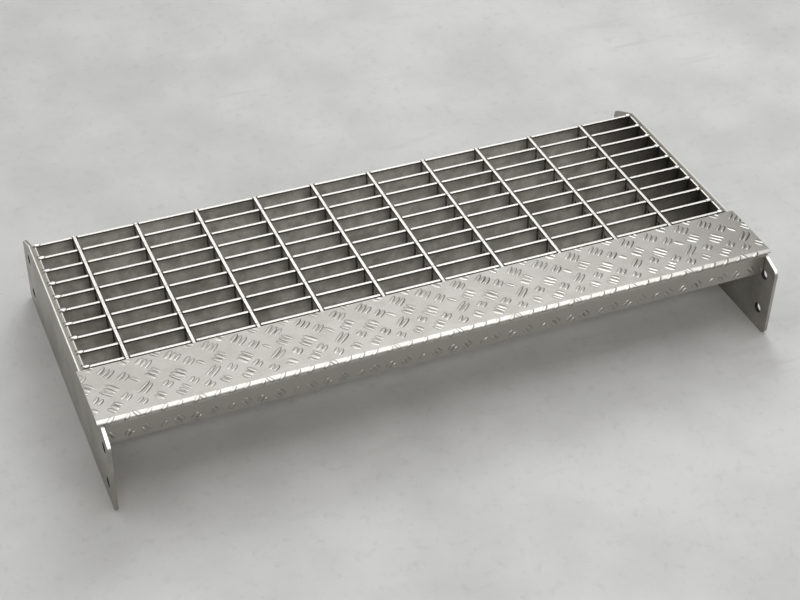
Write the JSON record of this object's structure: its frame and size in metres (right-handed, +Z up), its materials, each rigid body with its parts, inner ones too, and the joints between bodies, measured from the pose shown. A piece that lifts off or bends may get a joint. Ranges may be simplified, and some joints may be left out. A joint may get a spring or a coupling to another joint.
{
  "type": "metal stair tread",
  "caption": "Bar-grating stair tread with a folded checker-plate nosing and tall end plates, drilled for bolting between two stringers.",
  "frame": {"origin": "on the floor under the tread, midway between the end plates and midway between their front and rear edges", "axes": "+X along the tread to the right end plate, +Y from the nosing to the back, +Z up"},
  "size_m": [0.806, 0.39, 0.108],
  "materials": {
    "bar_steel": "bare steel, bright worn top edges",
    "plate_steel": "smooth satin steel plate",
    "checker_steel": "rolled checker plate, satin, bright lugs and fold",
    "weld_metal": "ground weld metal"
  },
  "bodies": {
    "root": {"bearing_bar_01": "bar_steel", "bearing_bar_02": "bar_steel", "bearing_bar_03": "bar_steel", "bearing_bar_04": "bar_steel", "bearing_bar_05": "bar_steel", "bearing_bar_06": "bar_steel", "bearing_bar_07": "bar_steel", "bearing_bar_08": "bar_steel", "bearing_bar_09": "bar_steel", "bearing_bar_10": "bar_steel", "cross_bar_01": "bar_steel", "cross_bar_02": "bar_steel", "cross_bar_03": "bar_steel", "cross_bar_04": "bar_steel", "cross_bar_05": "bar_steel", "cross_bar_06": "bar_steel", "cross_bar_07": "bar_steel", "cross_bar_08": "bar_steel", "cross_bar_09": "bar_steel", "cross_bar_10": "bar_steel", "end_band_left": "bar_steel", "end_band_right": "bar_steel", "end_plate_left": "plate_steel", "end_plate_right": "plate_steel", "checker_nosing": "checker_steel", "weld_beads_left": "weld_metal", "weld_beads_right": "weld_metal"}
  },
  "joints": []
}
